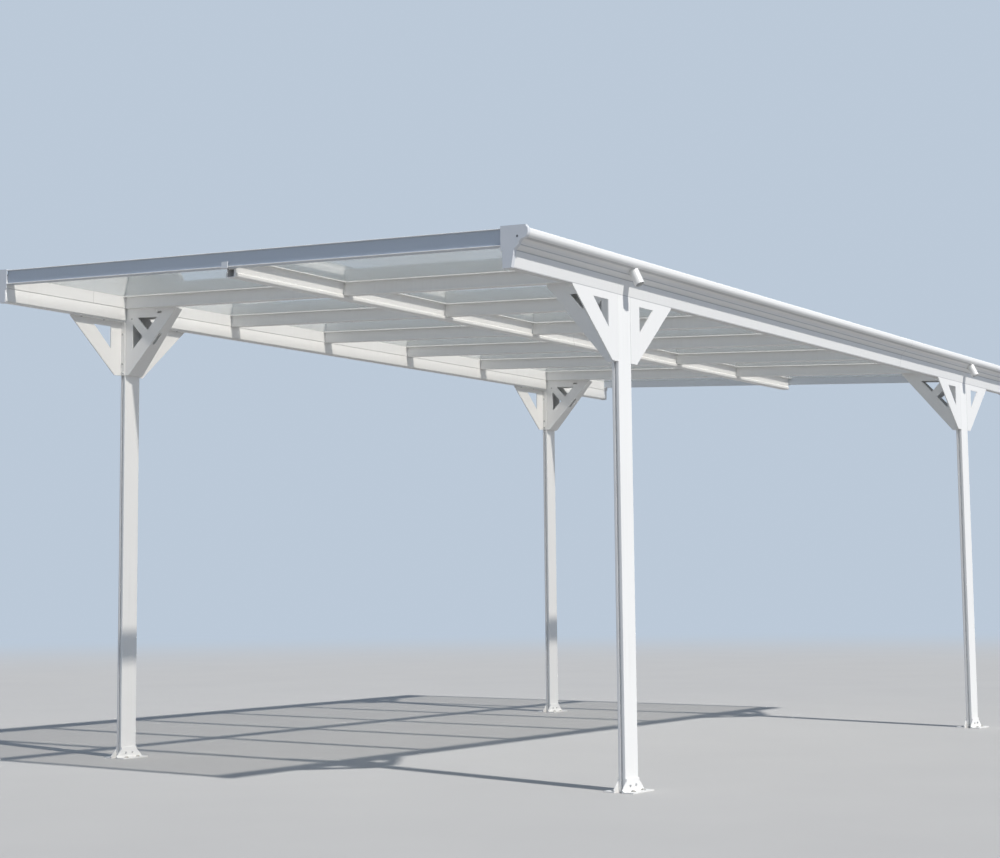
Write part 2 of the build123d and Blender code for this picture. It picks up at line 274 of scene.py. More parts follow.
@dataclass(frozen=True)
class Dust:
    """Grime splashed up from the ground and lying on upward faces, plus painted shade: on upward faces, to
    hold down their sunlit brightness, and in inner corners found by ambient occlusion.
    """

    ledge: tuple[float, float] = (0.6, 0.95)
    corner: tuple[float, float] = (0.75, 0.25)
    shade_reach: float = 35 * MM
    shade_samples: int = 6
    speck: tuple[float, float] = (0.3, 0.7)
    speck_scale: float = 38.0
    speck_detail: float = 6.0

    def build(self) -> Tree:
        """Make the group.

        Returns:
            A group with Vector, Splash Height, Ledges, Splash and Corners in, and Mask out.
        """
        group = ShaderGroup("Dust", ("Splash Height", "Ledges", "Splash", "Corners"), "Mask")
        inputs = group.inputs
        low = group.remap(group.part(group.place, "Z"), inputs["Splash Height"], 0.0, kind="SMOOTHSTEP")
        # Upward faces: real grime, and painted shade that holds down their sunlit brightness
        up = group.remap(group.facing_up(), *self.ledge)
        # Ambient occlusion darkens inner corners: painted shade
        reach = {"Distance": self.shade_reach}
        corner_occlusion = group.node("ShaderNodeAmbientOcclusion", reach, samples=self.shade_samples)
        inner = group.remap(corner_occlusion.outputs["AO"], *self.corner)
        most = group.maths("MULTIPLY", low, inputs["Splash"])
        most = group.maths("MAXIMUM", most, group.maths("MULTIPLY", up, inputs["Ledges"]))
        most = group.maths("MAXIMUM", most, group.maths("MULTIPLY", inner, inputs["Corners"]))
        specks = group.noise(group.place, self.speck_scale, self.speck_detail)
        return group.give(group.maths("MULTIPLY", most, group.remap(specks, *self.speck)))


class ButtJoint:
    """The hairline where two lengths of a profile meet, square to Y."""

    @staticmethod
    def build() -> Tree:
        """Make the group, with Vector, Place and Gap in, and Mask out."""
        group = ShaderGroup("ButtJoint", ("Place", "Gap"), "Mask")
        return group.give(group.maths("LESS_THAN", group.distance("Y"), group.inputs["Gap"]))


class Crease:
    """Painted shade: a dark line along a level crease of a profile, where the shadow under its small step
    falls.
    """

    @staticmethod
    def build() -> Tree:
        """Make the group.

        Returns:
            A group with Vector, Place, Half Width and Depth in, and Mask out.
        """
        group = ShaderGroup("Crease", ("Place", "Half Width", "Depth"), "Mask")
        near = group.remap(group.distance("Z"), group.inputs["Half Width"], 0.0, kind="SMOOTHSTEP")
        return group.give(group.maths("MULTIPLY", near, group.inputs["Depth"]))


@dataclass(frozen=True)
class Groups:
    """The shader groups, each built once."""

    peel: Tree = field(default_factory=OrangePeel().build)
    streaks: Tree = field(default_factory=RainStreaks().build)
    dust_and_shade: Tree = field(default_factory=Dust().build)
    joint: Tree = field(default_factory=ButtJoint.build)
    crease: Tree = field(default_factory=Crease.build)


GROUPS = Groups()


class MaterialSheet(Nodes):
    """A new node material with its Principled shader and Object coordinates at hand."""

    def __init__(self, name: str) -> None:
        """Make the material.

        Args:
            name: The material's name.
        """
        self.material = bpy.data.materials.new(name)
        self.material.use_nodes = True
        super().__init__(self.material.node_tree)
        self.shader = self.tree.nodes["Principled BSDF"]
        self.surface = self.tree.nodes["Material Output"].inputs["Surface"]
        self.place = self.node("ShaderNodeTexCoord").outputs["Object"]

    def group(self, tree: Tree, numbers: dict[str, float]) -> Socket:
        """The output of a shared group, placed here with its own numbers."""
        return self.node("ShaderNodeGroup", {"Vector": self.place, **numbers}, node_tree=tree).outputs[0]

    def dust_and_shade(
        self, ledges: float, corners: float, splash: float = 0.0, splash_height: float = 100 * MM
    ) -> Socket:
        """A mask of the shared grime and painted shade, from how much of each lies where."""
        numbers = {"Splash Height": splash_height, "Ledges": ledges, "Splash": splash, "Corners": corners}
        return self.group(GROUPS.dust_and_shade, numbers)

    def blend(self, below: object, above: object, mask: Socket) -> Socket:
        """A colour laid over another where a mask is high."""
        inputs = {0: mask, MIX_BELOW: below, MIX_ABOVE: above}
        return self.node("ShaderNodeMix", inputs, data_type="RGBA").outputs[MIX_RESULT]

    def drive(self, values: dict[str, object]) -> None:
        """Set or link inputs of the Principled shader by name."""
        for name, value in values.items():
            self.fill(self.shader.inputs[name], value)

    def emboss(self, height: Socket, relief: float) -> None:
        """Raise the surface by a height map."""
        bump = self.node("ShaderNodeBump", {"Height": height, "Distance": relief})
        self.drive({"Normal": bump.outputs[0]})

    def grain(self, scale: float, waviness: float, relief: float) -> None:
        """Emboss the shared fine relief."""
        self.emboss(self.group(GROUPS.peel, {"Scale": scale, "Waviness": waviness}), relief)


# Finishes
@dataclass(frozen=True)
class PowderCoat:
    """Baked white powder coat on aluminium."""

    name: str
    colour: Colour = (0.885, 0.884, 0.872)
    cool: Colour = (0.865, 0.87, 0.868)
    drift_scale: float = 0.9
    drift_detail: float = 3.0
    roughness: float = 0.44
    dusty_roughness: float = 0.85
    peel_scale: float = 900.0
    waviness: float = 2.0
    relief: float = 0.03 * MM
    streaks: float = 0.035
    # Grime and painted shade on upward faces, and painted shade in inner corners
    ledges: float = 0.24
    corners: float = 0.16
    splash: float = 0.10
    splash_height: float = 160 * MM
    joints: tuple[float, ...] = ()
    joint_gap: float = 0.7 * MM
    joint_colour: Colour = (0.42, 0.42, 0.42)
    # Painted shade lines along the profile's creases, at these heights
    creases: tuple[float, ...] = ()
    crease_half: float = 3 * MM
    crease_depth: float = 0.65
    crease_shade_colour: Colour = (0.36, 0.37, 0.39)

    def material(self) -> Material:
        """The coat with its rain streaks, grime and painted shade, butt joints, painted shade lines along
        creases and orange peel.

        Returns:
            The new material.
        """
        sheet = MaterialSheet(self.name)
        drift = sheet.noise(sheet.place, self.drift_scale, self.drift_detail)
        colour = sheet.blend(self.colour, self.cool, drift)
        colour = sheet.blend(colour, GRIME_AND_SHADE, sheet.group(GROUPS.streaks, {"Amount": self.streaks}))
        # Grime, with painted shade on upward faces and in inner corners
        dust_and_shade = sheet.dust_and_shade(self.ledges, self.corners, self.splash, self.splash_height)
        colour = sheet.blend(colour, GRIME_AND_SHADE, dust_and_shade)
        for place in self.joints:
            joint = sheet.group(GROUPS.joint, {"Place": place, "Gap": self.joint_gap})
            colour = sheet.blend(colour, self.joint_colour, joint)
        # Painted shade lines along the creases
        for height in self.creases:
            numbers = {"Place": height, "Half Width": self.crease_half, "Depth": self.crease_depth}
            colour = sheet.blend(colour, self.crease_shade_colour, sheet.group(GROUPS.crease, numbers))
        roughness = sheet.remap(dust_and_shade, 0.0, 1.0, self.roughness, self.dusty_roughness)
        sheet.drive({"Base Color": colour, "Roughness": roughness})
        sheet.grain(self.peel_scale, self.waviness, self.relief)
        return sheet.material


@dataclass(frozen=True)
class MouldedPlastic:
    """Pale moulded plastic, a little mottled and less even than the coat."""

    name: str
    colour: Colour
    shade: Colour
    cloud_scale: float = 14.0
    cloud_detail: float = 4.0
    roughness: float = 0.42
    dusty_roughness: float = 0.8
    grain_scale: float = 1400.0
    waviness: float = 0.6
    relief: float = 0.04 * MM
    corners: float = 0.3
    ledges: float = 0.3

    def material(self) -> Material:
        """The plastic with its mould grain, grime and painted shade.

        Returns:
            The new material.
        """
        sheet = MaterialSheet(self.name)
        clouds = sheet.noise(sheet.place, self.cloud_scale, self.cloud_detail)
        colour = sheet.blend(self.colour, self.shade, clouds)
        # Grime, with painted shade on upward faces and in inner corners
        dust_and_shade = sheet.dust_and_shade(self.ledges, self.corners)
        roughness = sheet.remap(dust_and_shade, 0.0, 1.0, self.roughness, self.dusty_roughness)
        sheet.drive({"Base Color": sheet.blend(colour, GRIME_AND_SHADE, dust_and_shade), "Roughness": roughness})
        sheet.grain(self.grain_scale, self.waviness, self.relief)
        return sheet.material


@dataclass(frozen=True)
class ClearSheet:
    """Clear twin-wall polycarbonate: glossy skins that scatter a share of the light."""

    name: str
    colour: Colour = (0.84, 0.89, 0.92)
    dust_colour: Colour = (0.74, 0.75, 0.70)
    film_scale: float = 3.2
    film_detail: float = 5.0
    film_shown: tuple[float, float] = (0.45, 0.75)
    film_share: float = 0.5
    roughness: float = 0.05
    dusty_roughness: float = 0.15
    ior: float = 1.58
    draw_stretch: tuple[float, float, float] = (1.5, 260.0, 1.5)
    draw_relief: float = 0.02 * MM
    scatter: float = 0.055
    pass_on: Colour = (0.955, 0.949, 0.939)
    glow: Colour = (0.91, 0.935, 0.925)

    def material(self) -> Material:
        """The skins and ribs, with a faint dusty film and draw lines, which let lamps through unbent.

        Returns:
            The new material.
        """
        sheet = MaterialSheet(self.name)
        film = sheet.noise(sheet.place, self.film_scale, self.film_detail)
        veil = sheet.remap(film, *self.film_shown, 0.0, self.film_share)
        sheet.drive({
            "Base Color": sheet.blend(self.colour, self.dust_colour, veil),
            "Roughness": sheet.remap(veil, 0.0, 1.0, self.roughness, self.dusty_roughness),
            "IOR": self.ior,
            "Transmission Weight": 1.0,
        })
        sheet.emboss(sheet.noise(sheet.stretch(sheet.place, self.draw_stretch), 1.0), self.draw_relief)
        path = sheet.node("ShaderNodeLightPath").outputs
        unbent = sheet.maths("MAXIMUM", path["Is Shadow Ray"], path["Is Diffuse Ray"])
        straight = sheet.node("ShaderNodeBsdfTransparent", {"Color": self.pass_on}).outputs[0]
        clear = sheet.mix(unbent, sheet.shader.outputs[0], straight)
        milky = sheet.node("ShaderNodeBsdfTranslucent", {"Color": self.glow}).outputs[0]
        sheet.fill(sheet.surface, sheet.mix(self.scatter, clear, milky))
        return sheet.material


@dataclass(frozen=True)
class ScrewSteel:
    """Stainless or zinc-plated steel, turned and slightly stained."""

    name: str
    colour: Colour = (0.56, 0.57, 0.58)
    stain: Colour = (0.30, 0.28, 0.26)
    stain_scale: float = 260.0
    stain_detail: float = 4.0
    stain_shown: tuple[float, float] = (0.45, 0.75)
    roughness: float = 0.34
    stained_roughness: float = 0.6
    turning_scale: float = 3000.0
    waviness: float = 0.3
    relief: float = 0.02 * MM

    def material(self) -> Material:
        """The steel with fine turning marks and stains.

        Returns:
            The new material.
        """
        sheet = MaterialSheet(self.name)
        stains = sheet.remap(sheet.noise(sheet.place, self.stain_scale, self.stain_detail), *self.stain_shown)
        sheet.drive({
            "Base Color": sheet.blend(self.colour, self.stain, stains),
            "Metallic": 1.0,
            "Roughness": sheet.remap(stains, 0.0, 1.0, self.roughness, self.stained_roughness),
        })
        sheet.grain(self.turning_scale, self.waviness, self.relief)
        return sheet.material


@dataclass(frozen=True)
class GasketRubber:
    """Grey sealing rubber with a dull, dusty skin."""

    name: str
    colour: Colour = (0.16, 0.165, 0.17)
    bloom: Colour = (0.33, 0.33, 0.33)
    bloom_scale: float = 55.0
    bloom_detail: float = 4.0
    roughness: float = 0.7
    grain_scale: float = 2200.0
    waviness: float = 0.2
    relief: float = 0.03 * MM

    def material(self) -> Material:
        """The rubber with its pale bloom.

        Returns:
            The new material.
        """
        sheet = MaterialSheet(self.name)
        bloom = sheet.noise(sheet.place, self.bloom_scale, self.bloom_detail)
        sheet.drive({"Base Color": sheet.blend(self.colour, self.bloom, bloom), "Roughness": self.roughness})
        sheet.grain(self.grain_scale, self.waviness, self.relief)
        return sheet.material


@dataclass(frozen=True)
class Materials:
    """Every finish of the carport, made once."""

    frame: Material
    end_profile: Material
    left_rail: Material
    right_rail: Material
    beam: Material
    post: Material
    brace: Material
    bracket: Material
    foot: Material
    cap: Material
    clip: Material
    spout: Material
    sheet: Material
    tape: Material
    steel: Material
    recess_shade_steel: Material
    anchor: Material
    rubber: Material

    @classmethod
    def make(cls) -> "Materials":
        """Build the materials from their finishes.

        Returns:
            The materials.
        """
        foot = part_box("side_rail_right")[0].z
        creases = tuple(foot + height for height in RAIL_CREASES)
        finishes = {
            "frame": PowderCoat("coat_frame"),
            # A darker, bluer copy of the white coat: painted shade for the end profiles' recessed faces
            "end_profile": PowderCoat(
                "coat_end_profile", colour=(0.60, 0.64, 0.69), cool=(0.53, 0.59, 0.67), corners=0.24
            ),
            "left_rail": PowderCoat("coat_left_rail", joints=(LEFT_RAIL_JOINT,)),
            "right_rail": PowderCoat("coat_right_rail", joints=(RIGHT_RAIL_JOINT,), creases=creases),
            "beam": PowderCoat("coat_beam", joints=(BEAM_JOINT,)),
            "post": PowderCoat("coat_post", streaks=0.05),
            "brace": PowderCoat(
                "coat_brace",
                colour=(0.85, 0.85, 0.842),
                cool=(0.835, 0.836, 0.83),
                streaks=0.02,
                corners=0.06,
            ),
            "bracket": PowderCoat("coat_bracket", streaks=0.02, corners=0.06),
            "foot": PowderCoat(
                "coat_foot",
                colour=(0.87, 0.865, 0.85),
                roughness=0.45,
                ledges=0.12,
                splash=0.22,
                splash_height=50 * MM,
            ),
            "cap": MouldedPlastic("plastic_rail_cap", colour=(0.76, 0.78, 0.81), shade=(0.70, 0.73, 0.77)),
            "clip": MouldedPlastic("plastic_clip", colour=(0.80, 0.82, 0.84), shade=(0.74, 0.77, 0.80)),
            "spout": MouldedPlastic(
                "plastic_spout", colour=(0.86, 0.86, 0.85), shade=(0.80, 0.80, 0.79), roughness=0.28
            ),
            "sheet": ClearSheet("clear_twin_wall"),
            "tape": ScrewSteel(
                "end_tape", colour=(0.74, 0.75, 0.76), stain=(0.55, 0.55, 0.54), roughness=0.3
            ),
            "steel": ScrewSteel("screw_steel"),
            # Nearly black steel: painted shade of the recesses around these screw heads
            "recess_shade_steel": ScrewSteel("dark_screw", colour=(0.20, 0.20, 0.21), stain=(0.10, 0.10, 0.10)),
            "anchor": ScrewSteel(
                "anchor_zinc", colour=(0.50, 0.50, 0.48), stain=(0.30, 0.22, 0.15), roughness=0.45
            ),
            "rubber": GasketRubber("gasket_rubber"),
        }
        return cls(**{name: finish.material() for name, finish in finishes.items()})


# Mesh helpers
def scale_of(x: float, y: float, z: float) -> Matrix:
    """A matrix that scales along the three axes."""
    return Matrix.Diagonal((x, y, z, 1.0))


def aim_at(place: Iterable[float], way: Iterable[float]) -> Matrix:
    """A matrix that stands a form at a place and turns its Z along a direction."""
    return Matrix.Translation(Vector(place)) @ Vector(way).to_track_quat("Z", "Y").to_matrix().to_4x4()


def block(form: Form, low: Iterable[float], high: Iterable[float]) -> None:
    """Add a box.

    Args:
        form: The mesh that takes it.
        low: Its lowest corner.
        high: Its highest corner.
    """
    low, high = Vector(low), Vector(high)
    place = Matrix.Translation((high + low) / 2) @ scale_of(*(high - low))
    bmesh.ops.create_cube(form, size=1.0, matrix=place)


def disc(form: Form, radius: float, sides: int, place: Matrix) -> Face:
    """Add a flat round face and give it back."""
    ring = bmesh.ops.create_circle(form, cap_ends=True, segments=sides, radius=radius, matrix=place)
    return ring["verts"][0].link_faces[0]


def soften(form: Form, width: float) -> None:
    """Round every sharp edge of a form."""
    edges = [edge for edge in form.edges if edge.calc_face_angle(0.0) > SHARP]
    bmesh.ops.bevel(form, geom=edges, offset=width, segments=2, affect="EDGES", profile=0.5, material=-1)


def push_faces(form: Form, faces: Iterable[Face], way: Iterable[float]) -> None:
    """Extrude flat faces into closed solids.

    Args:
        form: The mesh.
        faces: The faces, which stay as the near end.
        way: How far and where to the far end lies.
    """
    pushed = bmesh.ops.extrude_face_region(form, geom=list(faces), use_keep_orig=True)
    moved = [part for part in pushed["geom"] if isinstance(part, bmesh.types.BMVert)]
    bmesh.ops.translate(form, vec=Vector(way), verts=moved)


def bead(form: Form, start: Iterable[float], way: Iterable[float], radius: float, sides: int = 8) -> None:
    """Add a straight round bead from its near end's middle, which runs the given way."""
    push_faces(form, [disc(form, radius, sides, aim_at(start, way))], way)


def mesh_of(form: Form, name: str) -> bpy.types.Mesh:
    """Turn a finished form into a mesh.

    Args:
        form: The form, which is freed.
        name: The mesh's name.

    Returns:
        The new mesh.
    """
    mesh = bpy.data.meshes.new(name)
    form.to_mesh(mesh)
    form.free()
    return mesh


def add_object(name: str, data: bpy.types.ID) -> bpy.types.Object:
    """Put a mesh, a lamp or a camera into the scene, at the origin.

    Args:
        name: The object's name.
        data: What it shows.

    Returns:
        The new object.
    """
    added = bpy.data.objects.new(name, data)
    bpy.context.scene.collection.objects.link(added)
    return added


def finish_piece(
    form: Form,
    name: str,
    material: Material,
    smooth_below: float = SMOOTH_BELOW,
    lay: Matrix | None = None,
) -> bpy.types.Object:
    """Turn a mesh form into a piece of the carport that rides on its one body.

    Args:
        form: The finished form, which is freed.
        name: The piece's name.
        material: Its material.
        smooth_below: Edges under this angle, in radians, are shaded smooth.
        lay: A last move of the whole form into its place.

    Returns:
        The new object.
    """
    if lay is not None:
        bmesh.ops.transform(form, matrix=lay, verts=form.verts[:])
    bmesh.ops.recalc_face_normals(form, faces=form.faces[:])
    for face in form.faces:
        face.smooth = True
    for edge in form.edges:
        edge.smooth = edge.calc_face_angle(0.0) < smooth_below
    mesh = mesh_of(form, name)
    mesh.materials.append(material)
    piece = add_object(name, mesh)
    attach(piece, "root")
    log.info("%s: %d faces", name, len(mesh.polygons))
    return piece


@dataclass(frozen=True)
class Screw:
    """A pan-head screw, drawn with its seat at Z = 0 and its head along +Z.

    Each step of the crown has its share of the rise and how far it draws in.
    """

    name: str
    head: float
    rise: float
    washer: float = 0.0
    washer_thickness: float = 0.0
    drive: Drive = Drive.STAR
    sides: int = 16
    crown: tuple[tuple[float, float], ...] = ((0.62, 0.06), (0.28, 0.14), (0.10, 0.22))
    recess_inset: float = 0.17
    recess_depth: float = 0.5
    star_notch: float = 0.72

    def template(self) -> bpy.types.Mesh:
        """One screw head with its recess and, where it has one, its washer.

        Returns:
            A mesh to repeat.
        """
        form = bmesh.new()
        if self.washer:
            self._raise(form, disc(form, self.washer / 2, self.sides, Matrix()), self.washer_thickness)
        face = disc(form, self.head / 2, self.sides, Matrix.Translation((0, 0, self.washer_thickness)))
        for share, pull in self.crown:
            face = self._raise(form, face, self.rise * share)
            middle = face.calc_center_median()
            narrow = scale_of(1 - pull, 1 - pull, 1)
            shrink = Matrix.Translation(middle) @ narrow @ Matrix.Translation(-middle)
            bmesh.ops.transform(form, matrix=shrink, verts=face.verts[:])
        inset = self.head * self.recess_inset
        bmesh.ops.inset_individual(form, faces=[face], thickness=inset, use_even_offset=True)
        if self.drive is Drive.STAR:
            middle = face.calc_center_median()
            for vert in list(face.verts)[1::2]:
                vert.co = middle + (vert.co - middle) * self.star_notch
        self._raise(form, face, -self.rise * self.recess_depth)
        bmesh.ops.holes_fill(form, edges=[edge for edge in form.edges if edge.is_boundary], sides=0)
        bmesh.ops.recalc_face_normals(form, faces=form.faces[:])
        return mesh_of(form, self.name)

    @staticmethod
    def _raise(form: Form, face: Face, height: float) -> Face:
        """Push a face along Z and leave walls behind it.

        Args:
            form: The mesh.
            face: The face that moves.
            height: How far it moves up.

        Returns:
            The moved face.
        """
        moved = bmesh.ops.extrude_discrete_faces(form, faces=[face])["faces"][0]
        bmesh.ops.translate(form, vec=(0, 0, height), verts=moved.verts[:])
        return moved

    @staticmethod
    def seat(place: Iterable[float], outwards: Iterable[float], turn: float) -> Matrix:
        """Where a head is seated, the way that it faces and its turn about its own axis."""
        return aim_at(place, outwards) @ Matrix.Rotation(turn, 4, "Z")


def set_screws(
    template: bpy.types.Mesh, seats: Iterable[Matrix], name: str, material: Material
) -> None:
    """Make one piece of the screws that share a template.

    Args:
        template: The head to repeat.
        seats: One place for each screw.
        name: The piece's name.
        material: Its material.
    """
    form = bmesh.new()
    for seat in seats:
        before = len(form.verts)
        form.from_mesh(template)
        form.verts.ensure_lookup_table()
        bmesh.ops.transform(form, matrix=seat, verts=form.verts[before:])
    finish_piece(form, name, material)


# The carport's own frame, read from its solids
@dataclass(frozen=True)
class RoofPlane:
    """The panels' underside, a plane that falls towards +X."""

    slope: float
    height: float

    @classmethod
    def read(cls, panel: str) -> "RoofPlane":
        """Find the plane from the corners of one panel's solid.

        Args:
            panel: The panel's node.

        Returns:
            The plane.
        """
        low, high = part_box(panel)
        points = [vert.co for vert in frame["nodes"][panel].data.vertices]
        left = min(point.z for point in points if point.x < low.x + SAME_PLACE)
        right = min(point.z for point in points if point.x > high.x - SAME_PLACE)
        slope = (left - right) / (high.x - low.x)
        return cls(slope, left + slope * low.x)

    @property
    def angle(self) -> float:
        """The fall, in radians."""
        return math.atan(self.slope)

    @property
    def normal(self) -> Vector:
        """The direction square to the roof, upwards."""
        return Vector((math.sin(self.angle), 0, math.cos(self.angle)))

    def lay(self) -> Matrix:
        """Lay a form on the roof, which keeps its X and Y.

        Returns:
            A shear after which Z is measured square to the plane.
        """
        return Matrix((
            (1, 0, 0, 0),
            (0, 1, 0, 0),
            (-self.slope, 0, 1 / math.cos(self.angle), self.height),
            (0, 0, 0, 1),
        ))

    def square(self, x: float) -> Matrix:
        """A frame on the plane at some X: its X runs down the fall and its Z is square to the roof."""
        return Matrix.Translation(self.point(x, 0, 0)) @ Matrix.Rotation(self.angle, 4, "Y")

    def point(self, x: float, y: float, above: float) -> Vector:
        """A point over the given X and Y, at a distance square to the plane."""
        return Vector((x, y, self.height - self.slope * x + above / math.cos(self.angle)))


@dataclass(frozen=True)
class Corner:
    """One post's place, read from its solid."""

    name: str
    side: int
    end: int
    low: Vector
    high: Vector

    @classmethod
    def all(cls) -> list["Corner"]:
        """The four corners of the carport."""
        return [cls(name, side, end, *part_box("post_" + name)) for name, (side, end) in CORNERS.items()]

    @property
    def middle(self) -> Vector:
        """The middle of the post's plan, at its top."""
        return Vector(((self.low.x + self.high.x) / 2, (self.low.y + self.high.y) / 2, self.high.z))

    @property
    def outer_x(self) -> float:
        """X of the post's broad face that looks outwards."""
        return self.high.x if self.side > 0 else self.low.x

    @property
    def inner_x(self) -> float:
        """X of the post's broad face that looks inwards."""
        return self.low.x if self.side > 0 else self.high.x

    @property
    def half_width(self) -> float:
        """Half of the post's width along Y."""
        return (self.high.y - self.low.y) / 2


def dress(material: Material, *prefixes: str) -> None:
    """Give one finish to a kind of CAD node.

    Args:
        material: The material for all the nodes' faces.
        prefixes: What the nodes' names start with.
    """
    for node in nodes_of(*prefixes):
        mesh = frame["nodes"][node].data
        mesh.materials.clear()
        mesh.materials.append(material)


def nodes_of(*prefixes: str) -> list[str]:
    """Names of the CAD nodes that start with one of the prefixes."""
    return sorted(name for name in frame["nodes"] if name.startswith(prefixes))


def middle_y(node: str) -> float:
    """Y of the middle of a node's box."""
    return sum(corner.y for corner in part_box(node)) / 2


def end_y(node: str, end: int) -> float:
    """Y of a node's front end, for -1, or of its back end, for 1."""
    low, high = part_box(node)
    return low.y if end < 0 else high.y


def free_stretches(node: str, crossings: Iterable[float], half: float) -> list[tuple[float, float]]:
    """The stretches of a long bar that the pieces across it leave free.

    Args:
        node: The bar, which runs along Y.
        crossings: Y of each piece that crosses it.
        half: How far from there the bar isn't free.

    Returns:
        The two ends of each stretch.
    """
    places = sorted(crossings)
    starts = (end_y(node, -1), *(y + half for y in places))
    stops = (*(y - half for y in places), end_y(node, 1))
    return list(zip(starts, stops))


# Sub-assemblies
@dataclass
class SubAssembly:
    """A part of the carport, with the finishes and the roof plane that it is built from."""

    look: Materials
    plane: RoofPlane

    def build(self) -> None:
        """Dress the solids and add the small pieces, which each sub-assembly does in its own way."""
        raise NotImplementedError


@dataclass
class Posts(SubAssembly):
    """The four posts with their bolted feet."""

    foot_plate: float = 4 * MM
    leg_screw_height: float = 24 * MM
    leg_screw_spacing: float = 40 * MM
    leg_screw: Screw = Screw("leg_screw", 10 * MM, 3.2 * MM)
    leg_turn: float = 0.7
    anchor_screw: Screw = Screw("anchor_screw", 15 * MM, 4.2 * MM, 21 * MM, 1.6 * MM, Drive.ROUND, 12)
    anchor_turns: tuple[float, float] = (0.4, 0.9)

    def build(self) -> None:
        """Dress the posts and feet, and set their screws."""
        dress(self.look.post, "post_")
        dress(self.look.foot, "foot_")
        leg = self.leg_screw.template()
        anchor = self.anchor_screw.template()
        mounts = {mount["name"]: mount for mount in frame["record"]["mounts"]}
        for corner in Corner.all():
            name = corner.name
            anchors = self.anchor_seats(mounts["anchor_holes_" + name])
            set_screws(leg, self.leg_seats(corner), "foot_screws_" + name, self.look.steel)
            set_screws(anchor, anchors, "anchor_screws_" + name, self.look.anchor)

    def leg_seats(self, corner: Corner) -> list[Matrix]:
        """Where the screws go through the foot's legs into the post.

        Args:
            corner: The post.

        Returns:
            One place for each screw.
        """
        seats = []
        for face, x in ((-1, corner.low.x), (1, corner.high.x)):
            for across in (-1, 1):
                y = corner.middle.y + across * self.leg_screw_spacing / 2
                place = (x + face * self.foot_plate, y, self.leg_screw_height)
                seats.append(Screw.seat(place, (face, 0, 0), across * self.leg_turn))
        return seats

    def anchor_seats(self, mount: dict) -> list[Matrix]:
        """Where the anchor screws stand in the flanges' holes.

        Args:
            mount: The record's bolt pattern of this foot.

        Returns:
            One place for each screw.
        """
        x, y, _ = mount["pos_m"]
        across = mount["dims"]["spacing_x_mm"] * MM / 2
        along = mount["dims"]["spacing_y_mm"] * MM / 2
        first, second = self.anchor_turns
        return [
            Screw.seat((x + i * across, y + j * along, self.foot_plate), (0, 0, 1), first * i + second * j)
            for i in (-1, 1)
            for j in (-1, 1)
        ]


@dataclass
class SideRails(SubAssembly):
    """The two gutter rails with their end caps, spouts and closing strips."""

    cap_screw_out: float = 29 * MM
    cap_screw_up: float = 105 * MM
    cap_screw: Screw = Screw("cap_screw", 9 * MM, 0.45 * MM)
    cap_turn: float = 0.5
    step: float = 8 * MM
    strip_thickness: float = 6 * MM
    strip_from: float = 4 * MM
    strip_to: float = 61 * MM
    strip_gap: float = 5 * MM
    strip_round: float = 0.8 * MM

    def build(self) -> None:
        """Dress the rails, caps and spouts, set the cap screws and clip the strips on."""
        dress(self.look.left_rail, "side_rail_left")
        dress(self.look.right_rail, "side_rail_right")
        dress(self.look.cap, "rail_cap_")
        dress(self.look.spout, "spout_")
        template = self.cap_screw.template()
        for corner in Corner.all():
            y = end_y("rail_cap_" + corner.name, corner.end)
            x = corner.outer_x + corner.side * self.cap_screw_out
            seat = Screw.seat((x, y, corner.high.z + self.cap_screw_up), (0, corner.end, 0), self.cap_turn)
            set_screws(template, [seat], "cap_screw_" + corner.name, self.look.recess_shade_steel)
        for side, node in ((-1, "side_rail_left"), (1, "side_rail_right")):
            self.build_closing_strip(side, node)

    def build_closing_strip(self, side: int, node: str) -> None:
        """Clip flat strips to a rail's inner face, under its step, between the brackets.

        Args:
            side: -1 for the left rail, 1 for the right one.
            node: The rail.
        """
        low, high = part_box(node)
        face = (high.x if side < 0 else low.x) + side * self.step
        left, right = sorted((face, face - side * self.strip_thickness))
        posts = [corner for corner in Corner.all() if corner.side == side]
        half = posts[0].half_width + self.strip_gap
        form = bmesh.new()
        for start, stop in free_stretches(node, [corner.middle.y for corner in posts], half):
            block(form, (left, start, low.z + self.strip_from), (right, stop, low.z + self.strip_to))
        soften(form, self.strip_round)
        finish_piece(form, node.replace("side_rail", "closing_strip"), self.look.frame)


